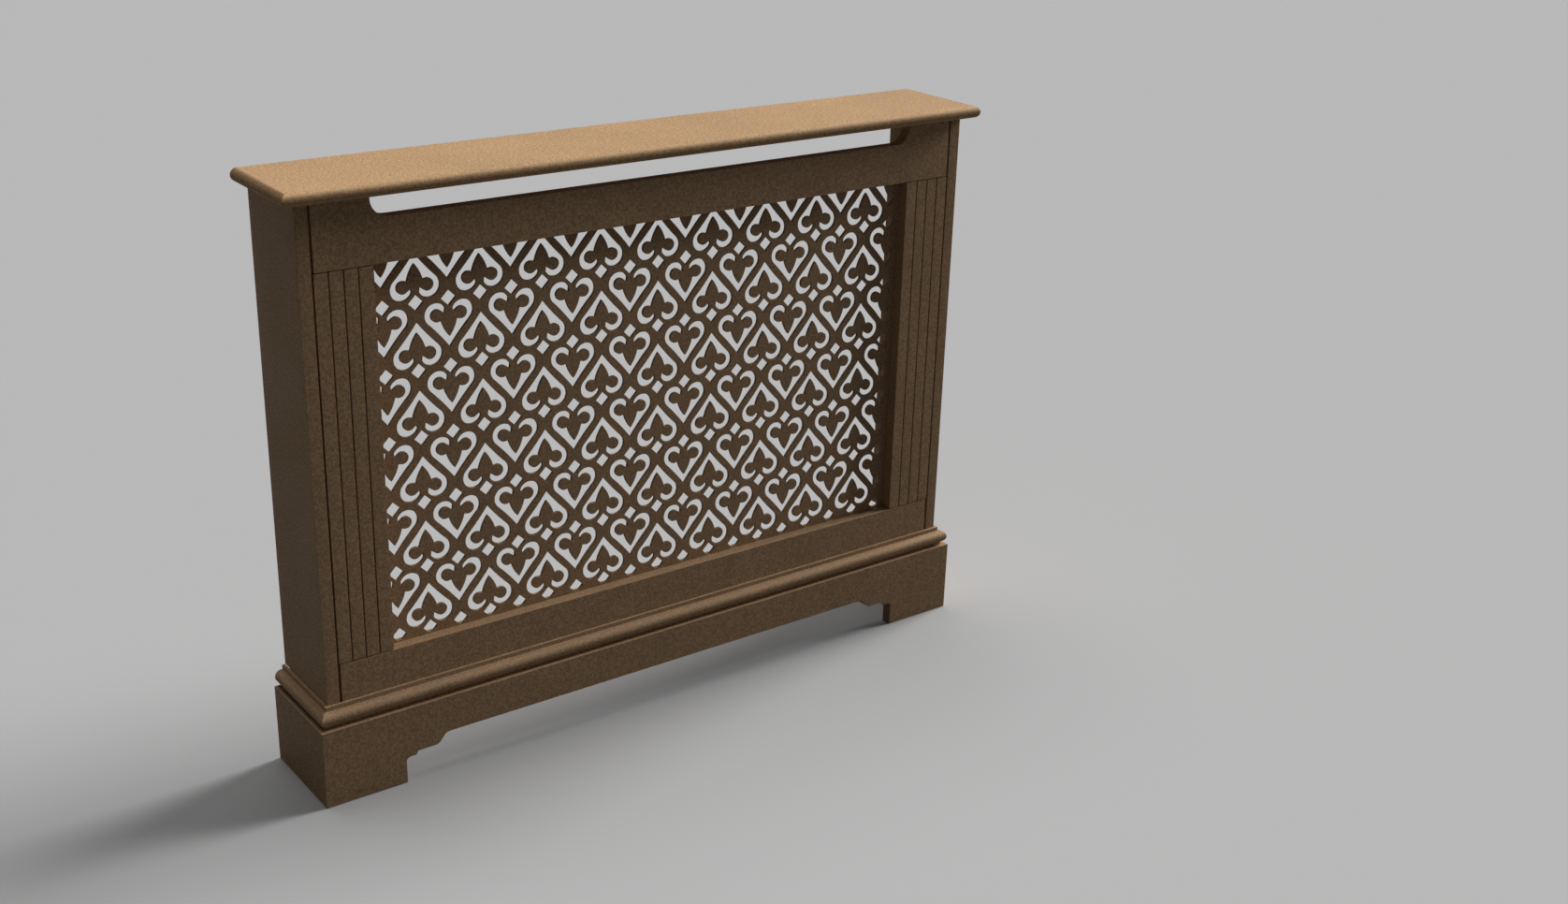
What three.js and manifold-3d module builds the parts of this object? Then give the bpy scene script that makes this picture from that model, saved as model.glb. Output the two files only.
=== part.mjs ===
// A radiator cover cabinet in fibreboard: a bullnosed shelf on two side panels, a front frame
// with a pierced lattice grille behind it, and a plinth with a bead that wraps three sides.
// Millimetres, +Z up. X is the width and -Y the front; the origin is the middle of the footprint.
import * as THREE from "three";
import { mergeVertices } from "three/addons/utils/BufferGeometryUtils.js";
import Module from "manifold-3d";

const wasm = await Module();
wasm.setup();

// ---- Driving dimensions ------------------------------------------------------------------

const BODY_WIDTH = 1077; // over the outer faces of the side panels
const BODY_DEPTH = 142; // face of the front frame to the wall
const TOTAL_HEIGHT = 850; // floor to the top of the shelf
const SIDE_THICKNESS = 18;
const FRAME_THICKNESS = 18;
const JOINT_GAP = 0.3; // glue line between pieces that meet
const OVERSHOOT = 1; // how far a blank or a cutter runs past the face it is trimmed to

const SHELF_THICKNESS = 18;
const SHELF_FRONT_OVERHANG = 22;
const SHELF_SIDE_OVERHANG = 21.5;
const NOSE_STEPS = 5; // facets round the half-round shelf edge

const RAIL_LIFT = 2; // underside of the bottom rail above the top of the plinth's arch
const BOTTOM_RAIL_SHOW = 55; // what shows of the bottom rail above the bead
const TOP_RAIL_HEIGHT = 90;
const STILE_WIDTH = 82;
const GROOVE_COUNT = 3; // V grooves down each stile
const GROOVE_PITCH = 20;
const GROOVE_WIDTH = 2;
const GROOVE_DEPTH = 2.5;
const REBATE_WIDTH = 1.6; // shadow line between stile and side panel
const REBATE_DEPTH = 4;
const SLOT_HEIGHT = 30.5; // warm-air slot under the shelf
const SLOT_CORNER_RADIUS = 25;
const SLOT_CORNER_STEPS = 4;

const PLINTH_HEIGHT = 115;
const PLINTH_THICKNESS = 17.8;
const FOOT_WIDTH = 120; // from the plinth's outer corner to the arch
const ARCH_HEIGHT = 60;
const FOOT_STRAIGHT = 33; // plain edge of the foot, up to its quarter round
const FOOT_ROUND = 6;
const FOOT_LEDGE = 9; // flat between the quarter round and the step
const FOOT_STEP = 5.5;
const CUSP_LENGTH = 26; // flat between the step and the ogee
const OGEE_LENGTH = 24;
const FOOT_ROUND_STEPS = 3;
const OGEE_STEPS = 6;

const BEAD_HEIGHT = 30;
const BEAD_PROJECTION = 16;
const BEAD_RADIUS = 10;
const BEAD_NECK = 9; // how far the neck under the bead stands out
const BEAD_FILLET = 4.5; // how far the flat fillet above the bead stands out
const BEAD_DROP = 1.5; // the round sits this far below the middle of the moulding
const BEAD_STEPS = 6;

const SKIRTING_NOTCH_DEPTH = 15; // clears a skirting board behind each side panel

const GRILLE_THICKNESS = 4;
const GRILLE_OVERLAP = 15; // what the grille laps behind the frame
const GRILLE_BORDER = 2; // unpierced line of the grille that shows inside the opening
const LATTICE_PITCH = 93.5;
const LATTICE_FOOT = 9.3; // height of the lowest row of diamonds above the opening's edge
const DIAMOND_HALF = 10.8;
const MOTIF_TIP = 67.2; // point of the motif above its own diamond
const LOBE_X = 19.5; // centre and radius of the lobes of the motif's outline
const LOBE_Z = 20.7;
const LOBE_RADIUS = 15.8;
const LEAF_TIP = 53.5; // point of the three-lobed leaf inside the motif
const LEAF_SHOULDER_X = 11.3;
const LEAF_SHOULDER_Z = 30.2;
const LEAF_LOBE_X = 17.5;
const LEAF_LOBE_Z = 22.6;
const LEAF_LOBE_RADIUS = 8.8;
const LEAF_NECK_X = 5.4; // half the width of the leaf's stem
const LEAF_NECK_Z = 13.7;
const LEAF_NOTCH_X = 6; // where the stem's edge meets the leaf's lobe
const LEAF_NOTCH_Z = 20.2;
const LOBE_STEPS = 4;
const LEAF_STEPS = 4;

const STRIP_WIDTH = 14; // strips that clamp the grille to the back of the frame
const STRIP_THICKNESS = 8;
const STRIP_SETBACK = 1; // from the edge of the opening

const BATTEN = 20; // square section of the corner battens and shelf cleats
const BATTEN_LIFT = 5; // the battens stop this far above the bottom rail's lower edge
const CLEAT_SETBACK = 12; // the cleats stop this far short of the wall

const DOWEL_RADIUS = 4;
const DOWEL_LENGTH = 40;
const DOWEL_INSET = 20; // from each edge of the stile
const FASTENER_CLEARANCE = 0.3;
const BLIND_END = 0.6; // room past the end of a dowel or screw
const FASTENER_SIDES = 6;

const SCREW_RADIUS = 2;
const SCREW_HEAD_RADIUS = 4;
const SCREW_HEAD_HEIGHT = 1.9;
const SCREW_POINT = 3;
const SCREW_BITE = 12; // what a screw reaches into the second board

const SIDE_SCREW_INSET = 60; // screws of the battens, from the ends of the stile
const FRAME_SCREW_INSET = 100;
const CLEAT_SCREW_INSET = 18;

const BRACKET_LEG = 30;
const BRACKET_WIDTH = 30;
const BRACKET_THICKNESS = 2;
const BRACKET_INSET = 60; // from the body's outer face to the bracket's middle
const BRACKET_SCREW_SPACING = 16;
const WALL_HOLE_RADIUS = 2.6;
const WALL_HOLE_RISE = 10; // above the end of the bracket's upright leg
const WALL_HOLE_SIDES = 8;

// ---- Levels and planes that follow ---------------------------------------------------------

const HALF_WIDTH = BODY_WIDTH / 2;
const INNER_HALF = HALF_WIDTH - SIDE_THICKNESS;
const OPENING_HALF = INNER_HALF - STILE_WIDTH;
const FRONT = (SHELF_FRONT_OVERHANG - BODY_DEPTH) / 2; // front face of the frame
const REAR = FRONT + BODY_DEPTH;
const FRAME_BACK = FRONT + FRAME_THICKNESS;
const SHELF_UNDERSIDE = TOTAL_HEIGHT - SHELF_THICKNESS;
const CARCASS_TOP = SHELF_UNDERSIDE - JOINT_GAP;
const BEAD_TOP = PLINTH_HEIGHT + BEAD_HEIGHT;
const RAIL_LOWER_EDGE = ARCH_HEIGHT + RAIL_LIFT;
const OPENING_BOTTOM = BEAD_TOP + BOTTOM_RAIL_SHOW;
const OPENING_TOP = SHELF_UNDERSIDE - TOP_RAIL_HEIGHT;
const GRILLE_FRONT = FRAME_BACK + JOINT_GAP;
const STRIP_FRONT = GRILLE_FRONT + GRILLE_THICKNESS + JOINT_GAP;
const BATTEN_FRONT = FRAME_BACK + JOINT_GAP;
const BATTEN_OUTER = INNER_HALF - JOINT_GAP; // face of the battens towards the side panel
const BATTEN_INNER = BATTEN_OUTER - BATTEN;

const SIDES = [["left", -1], ["right", 1]];

// ---- Materials -----------------------------------------------------------------------------

const board = (color) => new THREE.MeshStandardMaterial({ color, roughness: 0.72, metalness: 0 });
const MATERIALS = {
  shelf: board(0xa78762),
  carcass: board(0x8a6f55),
  grille: board(0x836a51),
  batten: new THREE.MeshStandardMaterial({ color: 0xc8a878, roughness: 0.7, metalness: 0 }),
  dowel: new THREE.MeshStandardMaterial({ color: 0xd2b48c, roughness: 0.6, metalness: 0 }),
  steel: new THREE.MeshStandardMaterial({ color: 0xb4b6b8, roughness: 0.35, metalness: 1 }),
};

// ---- Solids --------------------------------------------------------------------------------

function solid(geometry) {
  const plain = geometry.clone();
  plain.deleteAttribute("normal");
  plain.deleteAttribute("uv");
  const merged = mergeVertices(plain, 1e-4);
  return new wasm.Manifold(
    new wasm.Mesh({
      numProp: 3,
      vertProperties: merged.attributes.position.array,
      triVerts: new Uint32Array(merged.index.array),
    }),
  );
}

function meshOf(name, body, material) {
  const { numProp, vertProperties, triVerts } = body.getMesh();
  const indexed = new THREE.BufferGeometry();
  const positions = new THREE.InterleavedBuffer(vertProperties, numProp);
  indexed.setAttribute("position", new THREE.InterleavedBufferAttribute(positions, 3, 0));
  indexed.setIndex(new THREE.BufferAttribute(triVerts, 1));
  const faceted = indexed.toNonIndexed();
  faceted.computeVertexNormals();
  const mesh = new THREE.Mesh(faceted, material);
  mesh.name = name;
  return mesh;
}

function block(x0, x1, y0, y1, z0, z1) {
  const box = new THREE.BoxGeometry(x1 - x0, y1 - y0, z1 - z0);
  return solid(box.translate((x0 + x1) / 2, (y0 + y1) / 2, (z0 + z1) / 2));
}

const extruded = (shape, depth) =>
  new THREE.ExtrudeGeometry(shape, { depth, bevelEnabled: false });

// An outline in X and Y, raised from z0 to z1.
const raised = (shape, z0, z1) => solid(extruded(shape, z1 - z0).translate(0, 0, z0));

// An outline in X and Z, as seen from the front, from y0 back to y1.
const fromFront = (shape, y0, y1) =>
  solid(extruded(shape, y1 - y0).rotateX(Math.PI / 2).translate(0, y1, 0));

// An outline in Y and Z, as seen from the side, from x0 to x1.
const fromSide = (shape, x0, x1) =>
  solid(
    extruded(shape, x1 - x0)
      .rotateX(Math.PI / 2)
      .rotateZ(Math.PI / 2)
      .translate(x0, 0, 0),
  );

const shapeOf = (points) => new THREE.Shape(points.map(([x, y]) => new THREE.Vector2(x, y)));
const mirrored = (points) => points.map(([x, y]) => [-x, y]).reverse();

// Points along an arc from one angle to another, both ends included. The points between the
// ends stand out a little, so that the facets straddle the true arc.
function arc(x, y, radius, from, to, steps) {
  const evened = (2 * radius) / (1 + Math.cos((to - from) / steps / 2));
  const inner = new THREE.EllipseCurve(x, y, evened, evened, from, to, to < from);
  const ends = new THREE.EllipseCurve(x, y, radius, radius, from, to, to < from);
  const points = inner.getPoints(steps);
  points[0] = ends.getPoint(0);
  points[steps] = ends.getPoint(1);
  return points.map((p) => [p.x, p.y]);
}

// A turned piece along +Z from its profile of [radius, z] points, set at a place and direction.
function turned(profile, at, direction) {
  const lathe = new THREE.LatheGeometry(
    profile.map(([r, z]) => new THREE.Vector2(r, z)),
    FASTENER_SIDES,
  );
  const up = new THREE.Vector3(0, 1, 0);
  const turn = new THREE.Quaternion().setFromUnitVectors(up, new THREE.Vector3(...direction));
  return solid(lathe.applyQuaternion(turn).translate(...at));
}

// ---- Shelf ---------------------------------------------------------------------------------

function topShelf() {
  const r = SHELF_THICKNESS / 2;
  const middle = SHELF_UNDERSIDE + r;
  const front = FRONT - SHELF_FRONT_OVERHANG;
  const end = HALF_WIDTH + SHELF_SIDE_OVERHANG;
  const frontNose = arc(front + r, middle, r, 1.5 * Math.PI, 0.5 * Math.PI, NOSE_STEPS);
  const long = shapeOf([...frontNose, [REAR, TOTAL_HEIGHT], [REAR, SHELF_UNDERSIDE]]);
  const endNose = arc(end - r, middle, r, -0.5 * Math.PI, 0.5 * Math.PI, NOSE_STEPS);
  const across = shapeOf([...endNose, ...mirrored(endNose)]);
  return fromSide(long, -end, end).intersect(fromFront(across, front, REAR));
}

// ---- Side panels ---------------------------------------------------------------------------

// The notch clears the skirting board; the bead and plinth hide it from outside.
function sidePanel(side) {
  const notch = REAR - SKIRTING_NOTCH_DEPTH;
  const outline = shapeOf([
    [FRONT, 0],
    [notch, 0],
    [notch, BEAD_TOP],
    [REAR, BEAD_TOP],
    [REAR, CARCASS_TOP],
    [FRONT, CARCASS_TOP],
  ]);
  const x0 = side < 0 ? -HALF_WIDTH : INNER_HALF;
  return fromSide(outline, x0, x0 + SIDE_THICKNESS);
}

// ---- Front frame ---------------------------------------------------------------------------

function topRail() {
  const end = INNER_HALF - JOINT_GAP;
  const floor = SHELF_UNDERSIDE - SLOT_HEIGHT;
  const r = SLOT_CORNER_RADIUS;
  const corner = arc(OPENING_HALF - r, floor + r, r, 0, -0.5 * Math.PI, SLOT_CORNER_STEPS);
  const right = [
    [end, OPENING_TOP],
    [end, CARCASS_TOP],
    [OPENING_HALF, CARCASS_TOP],
    ...corner,
  ];
  return fromFront(shapeOf([...right, ...mirrored(right)]), FRONT, FRAME_BACK);
}

function bottomRail() {
  const end = INNER_HALF - JOINT_GAP;
  return block(-end, end, FRONT, FRAME_BACK, RAIL_LOWER_EDGE, OPENING_BOTTOM);
}

// Seen from above: V grooves in the face and a shadow line at the side panel.
function stile(side) {
  const outer = INNER_HALF - JOINT_GAP;
  const face = [[OPENING_HALF, FRAME_BACK], [OPENING_HALF, FRONT]];
  for (let i = 1; i <= GROOVE_COUNT; i += 1) {
    const x = OPENING_HALF + i * GROOVE_PITCH;
    face.push(
      [x - GROOVE_WIDTH / 2, FRONT],
      [x, FRONT + GROOVE_DEPTH],
      [x + GROOVE_WIDTH / 2, FRONT],
    );
  }
  face.push(
    [outer - REBATE_WIDTH, FRONT],
    [outer - REBATE_WIDTH, FRONT + REBATE_DEPTH],
    [outer, FRONT + REBATE_DEPTH],
    [outer, FRAME_BACK],
  );
  const outline = shapeOf(side < 0 ? mirrored(face) : face);
  return raised(outline, OPENING_BOTTOM + JOINT_GAP, OPENING_TOP - JOINT_GAP);
}

// ---- Grille --------------------------------------------------------------------------------

// Half of one pierced motif, a spade round a three-lobed leaf, from its point down the right
// side to the stem and back up the leaf.
function halfMotif() {
  const rise = MOTIF_TIP - LOBE_Z;
  const lean = Math.atan2(LOBE_X, rise);
  const tangent = Math.PI / 2 + lean - Math.acos(LOBE_RADIUS / Math.hypot(LOBE_X, rise));
  const stem = Math.atan2(LEAF_NECK_Z - LOBE_Z, LEAF_NECK_X - LOBE_X);
  const notch = Math.atan2(LEAF_NOTCH_Z - LEAF_LOBE_Z, LEAF_NOTCH_X - LEAF_LOBE_X);
  const shoulder = Math.atan2(LEAF_SHOULDER_Z - LEAF_LOBE_Z, LEAF_SHOULDER_X - LEAF_LOBE_X);
  const lobe = arc(LOBE_X, LOBE_Z, LOBE_RADIUS, tangent, stem, LOBE_STEPS);
  const leaf = arc(LEAF_LOBE_X, LEAF_LOBE_Z, LEAF_LOBE_RADIUS, notch, shoulder, LEAF_STEPS);
  leaf[0] = [LEAF_NOTCH_X, LEAF_NOTCH_Z];
  return [...lobe, ...leaf];
}

function motifOutline() {
  const right = halfMotif();
  return [[0, MOTIF_TIP], ...right, [0, LEAF_TIP], ...mirrored(right)];
}

const diamondOutline = [
  [0, DIAMOND_HALF],
  [DIAMOND_HALF, 0],
  [0, -DIAMOND_HALF],
  [-DIAMOND_HALF, 0],
];

// The same outline with its origin moved, upright (flip 1) or turned upside down (flip -1).
const placed = (points, x, z, flip) => shapeOf(points.map(([u, v]) => [x + flip * u, z + flip * v]));

// Every pierced outline whose middle lies in the field: upright spades, upended ones half a
// pitch aside, and a row of diamonds between them.
function latticeShapes(half, bottom, top) {
  const foot = OPENING_BOTTOM + LATTICE_FOOT;
  const motif = motifOutline();
  const columns = Math.ceil((2 * half) / LATTICE_PITCH);
  const rows = Math.ceil((top - bottom) / LATTICE_PITCH);
  const shapes = [];
  for (let row = 0; row <= rows; row += 1) {
    const z = foot + row * LATTICE_PITCH;
    for (let halfStep = -columns; halfStep <= columns; halfStep += 1) {
      const x = (halfStep * LATTICE_PITCH) / 2;
      if (Math.abs(x) > half) continue;
      if (z < top) shapes.push(placed(diamondOutline, x, z, 1));
      const upright = halfStep % 2 === 0;
      const middle = upright ? z + MOTIF_TIP / 2 : z + LATTICE_PITCH - MOTIF_TIP / 2;
      if (middle > top) continue;
      shapes.push(upright ? placed(motif, x, z, 1) : placed(motif, x, z + LATTICE_PITCH, -1));
    }
  }
  return shapes;
}

function grillePanel() {
  const half = OPENING_HALF + GRILLE_OVERLAP;
  const back = GRILLE_FRONT + GRILLE_THICKNESS;
  const low = OPENING_BOTTOM - GRILLE_OVERLAP;
  const high = OPENING_TOP + GRILLE_OVERLAP;
  const sheet = block(-half, half, GRILLE_FRONT, back, low, high);
  const fieldHalf = OPENING_HALF - GRILLE_BORDER;
  const bottom = OPENING_BOTTOM + GRILLE_BORDER;
  const top = OPENING_TOP - GRILLE_BORDER;
  const past = GRILLE_THICKNESS / 2; // the cutters run past both faces
  const cutters = solid(
    extruded(latticeShapes(fieldHalf, bottom, top), GRILLE_THICKNESS + 2 * past)
      .rotateX(Math.PI / 2)
      .translate(0, back + past, 0),
  );
  const field = block(-fieldHalf, fieldHalf, GRILLE_FRONT - 2 * past, back + 2 * past, bottom, top);
  return sheet.subtract(cutters.intersect(field));
}

// Four strips round the back of the grille; the upright ones fit between the others.
function grilleStrips() {
  const inner = OPENING_HALF + STRIP_SETBACK;
  const outer = inner + STRIP_WIDTH;
  const low = OPENING_BOTTOM - STRIP_SETBACK;
  const high = OPENING_TOP + STRIP_SETBACK;
  const back = STRIP_FRONT + STRIP_THICKNESS;
  const level = (z) => block(-outer, outer, STRIP_FRONT, back, z, z + STRIP_WIDTH);
  const upright = (x) =>
    block(x, x + STRIP_WIDTH, STRIP_FRONT, back, low + JOINT_GAP, high - JOINT_GAP);
  return {
    grille_strip_bottom: level(low - STRIP_WIDTH),
    grille_strip_top: level(high),
    grille_strip_left: upright(-outer),
    grille_strip_right: upright(inner),
  };
}

// ---- Plinth and bead -----------------------------------------------------------------------

// Seen from above: the ground that one run of moulding may fill, mitred at the front corners.
function mitreGround(side, projection) {
  const reach = projection + JOINT_GAP;
  const cut = JOINT_GAP / 2;
  if (side === 0) {
    const back = HALF_WIDTH + JOINT_GAP - cut;
    return shapeOf([
      [-back, FRONT - JOINT_GAP],
      [back, FRONT - JOINT_GAP],
      [back + projection, FRONT - reach],
      [-back - projection, FRONT - reach],
    ]);
  }
  const inner = HALF_WIDTH + JOINT_GAP;
  const points = [
    [inner, FRONT - JOINT_GAP + cut],
    [inner + projection, FRONT - reach + cut],
    [inner + projection, REAR],
    [inner, REAR],
  ];
  return shapeOf(side < 0 ? mirrored(points) : points);
}

// Seen from the front: plain feet, then a quarter round, a step and an ogee up to the arch.
function archOutline() {
  const end = HALF_WIDTH + JOINT_GAP + PLINTH_THICKNESS;
  const foot = end - FOOT_WIDTH;
  const ledge = foot - FOOT_ROUND - FOOT_LEDGE;
  const ledgeHeight = FOOT_STRAIGHT + FOOT_ROUND;
  const cusp = ledge - FOOT_STEP / 2;
  const cuspHeight = ledgeHeight + FOOT_STEP;
  const ogee = new THREE.CubicBezierCurve(
    new THREE.Vector2(cusp - CUSP_LENGTH, cuspHeight),
    new THREE.Vector2(cusp - CUSP_LENGTH - OGEE_LENGTH / 2, cuspHeight),
    new THREE.Vector2(cusp - CUSP_LENGTH - OGEE_LENGTH / 2, ARCH_HEIGHT),
    new THREE.Vector2(cusp - CUSP_LENGTH - OGEE_LENGTH, ARCH_HEIGHT),
  );
  const right = [
    [end, PLINTH_HEIGHT],
    [end, 0],
    [foot, 0],
    ...arc(foot - FOOT_ROUND, FOOT_STRAIGHT, FOOT_ROUND, 0, Math.PI / 2, FOOT_ROUND_STEPS),
    [ledge, ledgeHeight],
    [cusp, cuspHeight],
    ...ogee.getPoints(OGEE_STEPS).map((p) => [p.x, p.y]),
  ];
  return shapeOf([...right, ...mirrored(right)]);
}

function frontPlinth() {
  const ground = raised(mitreGround(0, PLINTH_THICKNESS), 0, PLINTH_HEIGHT);
  const front = FRONT - JOINT_GAP - PLINTH_THICKNESS;
  return fromFront(archOutline(), front - OVERSHOOT, FRONT).intersect(ground);
}

const sidePlinth = (side) => raised(mitreGround(side, PLINTH_THICKNESS), 0, PLINTH_HEIGHT);

// The bead's section as [out, up]: neck, three-quarter round, then a flat fillet on top.
function beadSection() {
  const middle = BEAD_PROJECTION - BEAD_RADIUS;
  const top = Math.PI - Math.acos((middle - BEAD_FILLET) / BEAD_RADIUS);
  const low = -Math.acos((BEAD_NECK - middle) / BEAD_RADIUS);
  const rise = BEAD_HEIGHT / 2 - BEAD_DROP;
  return [
    [0, 0],
    [BEAD_NECK, 0],
    ...arc(middle, rise, BEAD_RADIUS, low, top, BEAD_STEPS),
    [BEAD_FILLET, BEAD_HEIGHT],
    [0, BEAD_HEIGHT],
  ];
}

function beadRun(side) {
  const base = PLINTH_HEIGHT + JOINT_GAP;
  const height = BEAD_HEIGHT - JOINT_GAP;
  const section = beadSection().map(([out, up]) => [out, base + Math.min(up, height)]);
  const span = [base - OVERSHOOT, BEAD_TOP + OVERSHOOT];
  const ground = raised(mitreGround(side, BEAD_PROJECTION), ...span);
  const end = HALF_WIDTH + JOINT_GAP + BEAD_PROJECTION;
  if (side === 0) {
    const outline = section.map(([out, z]) => [FRONT - JOINT_GAP - out, z]).reverse();
    return fromSide(shapeOf(outline), -end, end).intersect(ground);
  }
  const outline = section.map(([out, z]) => [HALF_WIDTH + JOINT_GAP + out, z]);
  const shape = shapeOf(side < 0 ? mirrored(outline) : outline);
  return fromFront(shape, FRONT - JOINT_GAP - BEAD_PROJECTION, REAR).intersect(ground);
}

// ---- Battens, cleats and brackets ----------------------------------------------------------

function cornerBatten(side) {
  const x0 = side < 0 ? -BATTEN_OUTER : BATTEN_INNER;
  const back = BATTEN_FRONT + BATTEN;
  return block(x0, x0 + BATTEN, BATTEN_FRONT, back, RAIL_LOWER_EDGE + BATTEN_LIFT, CARCASS_TOP);
}

function shelfCleat(side) {
  const x0 = side < 0 ? -BATTEN_OUTER : BATTEN_INNER;
  const front = BATTEN_FRONT + BATTEN + JOINT_GAP;
  return block(x0, x0 + BATTEN, front, REAR - CLEAT_SETBACK, CARCASS_TOP - BATTEN, CARCASS_TOP);
}

// An angle of sheet steel under the back of the shelf, with one hole in its upright leg.
function wallBracket(side) {
  const middle = side * (HALF_WIDTH - BRACKET_INSET);
  const low = CARCASS_TOP - BRACKET_LEG;
  const angle = shapeOf([
    [REAR, CARCASS_TOP],
    [REAR - BRACKET_LEG, CARCASS_TOP],
    [REAR - BRACKET_LEG, CARCASS_TOP - BRACKET_THICKNESS],
    [REAR - BRACKET_THICKNESS, CARCASS_TOP - BRACKET_THICKNESS],
    [REAR - BRACKET_THICKNESS, low],
    [REAR, low],
  ]);
  const leaf = fromSide(angle, middle - BRACKET_WIDTH / 2, middle + BRACKET_WIDTH / 2);
  const depth = 4 * BRACKET_THICKNESS;
  const r = WALL_HOLE_RADIUS;
  const drill = new THREE.CylinderGeometry(r, r, depth, WALL_HOLE_SIDES);
  return leaf.subtract(solid(drill.translate(middle, REAR, low + WALL_HOLE_RISE)));
}

// ---- Fasteners -----------------------------------------------------------------------------

// Two dowels in each end of each stile.
function dowelPlan() {
  const plan = [];
  const y = FRONT + FRAME_THICKNESS / 2;
  const ends = [
    ["bottom", OPENING_BOTTOM + JOINT_GAP / 2],
    ["top", OPENING_TOP - JOINT_GAP / 2],
  ];
  const places = [
    ["inner", OPENING_HALF + DOWEL_INSET],
    ["outer", OPENING_HALF + STILE_WIDTH - DOWEL_INSET],
  ];
  for (const [side, s] of SIDES) {
    for (const [end, z] of ends) {
      for (const [place, x] of places) {
        const name = `${side}_dowel_${end}_${place}`;
        plan.push({ name, at: [s * x, y, z], into: [`${side}_stile`, `${end}_rail`] });
      }
    }
  }
  return plan;
}

// Each screw starts at its head, in the face of the first piece, and bites into the second.
const screw = (name, at, direction, grip, into) => ({ name, at, direction, grip, into });

// Two screws from each corner batten into the side panel and two into the stile.
function battenScrews(side, s) {
  const batten = `${side}_corner_batten`;
  const back = BATTEN_FRONT + BATTEN;
  const plan = [];
  for (const [level, end, step] of [["lower", OPENING_BOTTOM, 1], ["upper", OPENING_TOP, -1]]) {
    const outward = [s * BATTEN_INNER, BATTEN_FRONT + BATTEN / 2, end + step * SIDE_SCREW_INSET];
    const forward = [s * (BATTEN_INNER + BATTEN / 2), back, end + step * FRAME_SCREW_INSET];
    const intoPanel = [batten, `${side}_side_panel`];
    const intoStile = [batten, `${side}_stile`];
    plan.push(screw(`${batten}_side_screw_${level}`, outward, [s, 0, 0], BATTEN, intoPanel));
    plan.push(screw(`${batten}_frame_screw_${level}`, forward, [0, -1, 0], BATTEN, intoStile));
  }
  return plan;
}

// Two screws from each cleat up into the shelf, and one into the side panel between them.
function cleatScrews(side, s) {
  const cleat = `${side}_shelf_cleat`;
  const front = BATTEN_FRONT + BATTEN + JOINT_GAP;
  const back = REAR - CLEAT_SETBACK;
  const middle = [s * BATTEN_INNER, (front + back) / 2, CARCASS_TOP - BATTEN / 2];
  const intoPanel = [cleat, `${side}_side_panel`];
  const plan = [screw(`${cleat}_side_screw`, middle, [s, 0, 0], BATTEN, intoPanel)];
  for (const [place, y] of [["front", front + CLEAT_SCREW_INSET], ["rear", back - CLEAT_SCREW_INSET]]) {
    const at = [s * (BATTEN_INNER + BATTEN / 2), y, CARCASS_TOP - BATTEN];
    plan.push(screw(`${cleat}_screw_${place}`, at, [0, 0, 1], BATTEN, [cleat, "top_shelf"]));
  }
  return plan;
}

// Two screws from each bracket up into the shelf.
function bracketScrews(side, s) {
  const bracket = `${side}_wall_bracket`;
  const y = REAR - BRACKET_LEG / 2;
  const face = CARCASS_TOP - BRACKET_THICKNESS;
  return [["inner", -1], ["outer", 1]].map(([place, step]) => {
    const x = HALF_WIDTH - BRACKET_INSET + (step * BRACKET_SCREW_SPACING) / 2;
    const name = `${bracket}_screw_${place}`;
    return screw(name, [s * x, y, face], [0, 0, 1], BRACKET_THICKNESS, [bracket, "top_shelf"]);
  });
}

const screwPlan = () =>
  SIDES.flatMap(([side, s]) => [
    ...battenScrews(side, s),
    ...cleatScrews(side, s),
    ...bracketScrews(side, s),
  ]);

const dowelProfile = (radius, length) => [
  [0, -length / 2],
  [radius, -length / 2],
  [radius, length / 2],
  [0, length / 2],
];

// A countersunk screw from its flat head down to its point.
const screwProfile = (length) => [
  [0, 0],
  [SCREW_HEAD_RADIUS, 0],
  [SCREW_RADIUS, SCREW_HEAD_HEIGHT],
  [SCREW_RADIUS, length - SCREW_POINT],
  [0, length],
];

// The hole for it, countersunk and open at the face.
function screwHole(length) {
  const head = SCREW_HEAD_RADIUS + FASTENER_CLEARANCE;
  const shank = SCREW_RADIUS + FASTENER_CLEARANCE;
  return [
    [0, -OVERSHOOT],
    [head, -OVERSHOOT],
    [head, 0],
    [shank, SCREW_HEAD_HEIGHT],
    [shank, length + BLIND_END],
    [0, length + BLIND_END],
  ];
}

// ---- Assembly ------------------------------------------------------------------------------

function bodies() {
  const made = new Map();
  const add = (name, body, material) => made.set(name, { body, material });
  add("top_shelf", topShelf(), MATERIALS.shelf);
  add("top_rail", topRail(), MATERIALS.carcass);
  add("bottom_rail", bottomRail(), MATERIALS.carcass);
  add("grille_panel", grillePanel(), MATERIALS.grille);
  for (const [name, strip] of Object.entries(grilleStrips())) add(name, strip, MATERIALS.batten);
  add("front_plinth", frontPlinth(), MATERIALS.carcass);
  add("front_bead", beadRun(0), MATERIALS.carcass);
  for (const [side, s] of SIDES) {
    add(`${side}_side_panel`, sidePanel(s), MATERIALS.carcass);
    add(`${side}_stile`, stile(s), MATERIALS.carcass);
    add(`${side}_plinth`, sidePlinth(s), MATERIALS.carcass);
    add(`${side}_bead`, beadRun(s), MATERIALS.carcass);
    add(`${side}_corner_batten`, cornerBatten(s), MATERIALS.batten);
    add(`${side}_shelf_cleat`, shelfCleat(s), MATERIALS.batten);
    add(`${side}_wall_bracket`, wallBracket(s), MATERIALS.steel);
  }
  return made;
}

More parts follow.
